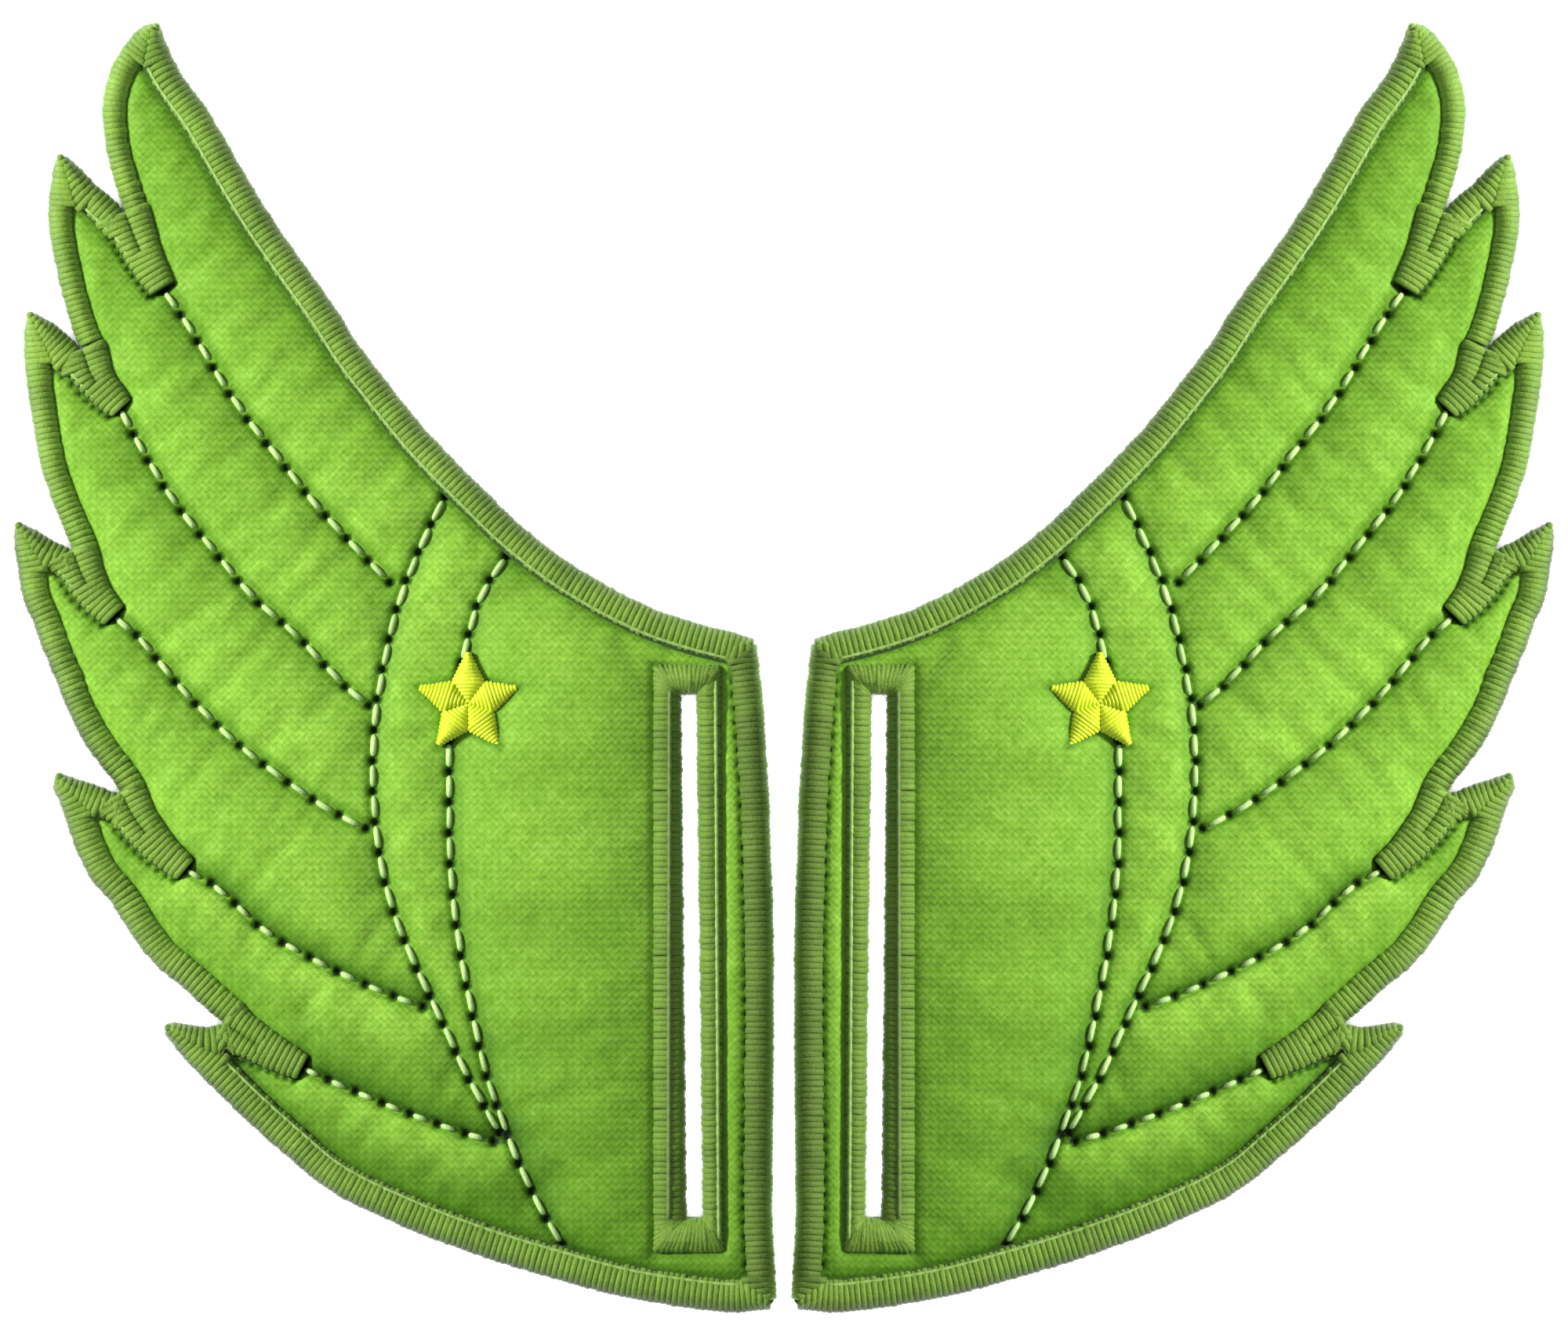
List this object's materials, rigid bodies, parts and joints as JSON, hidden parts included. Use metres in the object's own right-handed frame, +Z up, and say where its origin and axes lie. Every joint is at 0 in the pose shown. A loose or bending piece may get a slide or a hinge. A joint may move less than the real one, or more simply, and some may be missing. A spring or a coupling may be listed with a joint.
{
  "type": "pair of lace-in shoe wings",
  "caption": "Mirror-image pair of small quilted, embroidered fabric wings, each with a long slot in its tab so that shoelaces can hold it against a shoe.",
  "frame": {"origin": "on the surface the pair lies on, under the middle of the pair's box", "axes": "+X to the right across the pair, +Y towards the tips of the topmost feathers, +Z up out of the face cloth"},
  "size_m": [0.1462, 0.1224, 0.0033],
  "materials": {
    "face_cloth": "satin-faced twill, bright yellow-green",
    "padding": "matte wadding",
    "stiffener": "matte non-woven interlining",
    "backing": "matte plain weave, green",
    "binding_thread": "satin stitch in olive green thread",
    "seam_thread": "pale green sewing thread",
    "star_thread": "satin stitch in bright yellow thread"
  },
  "bodies": {
    "left_tab": {"left_tab_backing": "backing", "left_tab_stiffener": "stiffener", "left_tab_padding": "padding", "left_tab_face_cloth": "face_cloth", "left_tab_edge_binding": "binding_thread", "left_slot_binding": "binding_thread", "left_fold_web": "face_cloth"},
    "left_feathers": {"left_feather_backing": "backing", "left_feather_stiffener": "stiffener", "left_feather_padding": "padding", "left_feather_face_cloth": "face_cloth", "left_feather_edge_binding": "binding_thread", "left_star_emblem": "star_thread", "left_feather_seam_1": "seam_thread", "left_feather_seam_2": "seam_thread", "left_feather_seam_3": "seam_thread", "left_feather_seam_4": "seam_thread", "left_feather_seam_5": "seam_thread", "left_outer_spine_seam": "seam_thread", "left_inner_spine_seam_top": "seam_thread", "left_inner_spine_seam": "seam_thread"},
    "right_tab": {"right_tab_backing": "backing", "right_tab_stiffener": "stiffener", "right_tab_padding": "padding", "right_tab_face_cloth": "face_cloth", "right_tab_edge_binding": "binding_thread", "right_slot_binding": "binding_thread", "right_fold_web": "face_cloth"},
    "right_feathers": {"right_feather_backing": "backing", "right_feather_stiffener": "stiffener", "right_feather_padding": "padding", "right_feather_face_cloth": "face_cloth", "right_feather_edge_binding": "binding_thread", "right_star_emblem": "star_thread", "right_feather_seam_1": "seam_thread", "right_feather_seam_2": "seam_thread", "right_feather_seam_3": "seam_thread", "right_feather_seam_4": "seam_thread", "right_feather_seam_5": "seam_thread", "right_outer_spine_seam": "seam_thread", "right_inner_spine_seam_top": "seam_thread", "right_inner_spine_seam": "seam_thread"}
  },
  "joints": [
    {"name": "pair_separation", "type": "slide", "parent": "left_tab", "child": "right_tab", "axis": [1, 0, 0], "range_m": [0, 0.05]},
    {"name": "left_wing_fold", "type": "hinge", "parent": "left_tab", "child": "left_feathers", "pos_m": [-0.0185, -0.02615, 0.00162], "axis": [0, 1, 0], "range_deg": [-90, 90], "stiffness_Nm_per_rad": 0.005, "deforming": ["left_fold_web"]},
    {"name": "right_wing_fold", "type": "hinge", "parent": "right_tab", "child": "right_feathers", "pos_m": [0.0185, -0.02615, 0.00162], "axis": [0, -1, 0], "range_deg": [-90, 90], "stiffness_Nm_per_rad": 0.005, "deforming": ["right_fold_web"]}
  ]
}
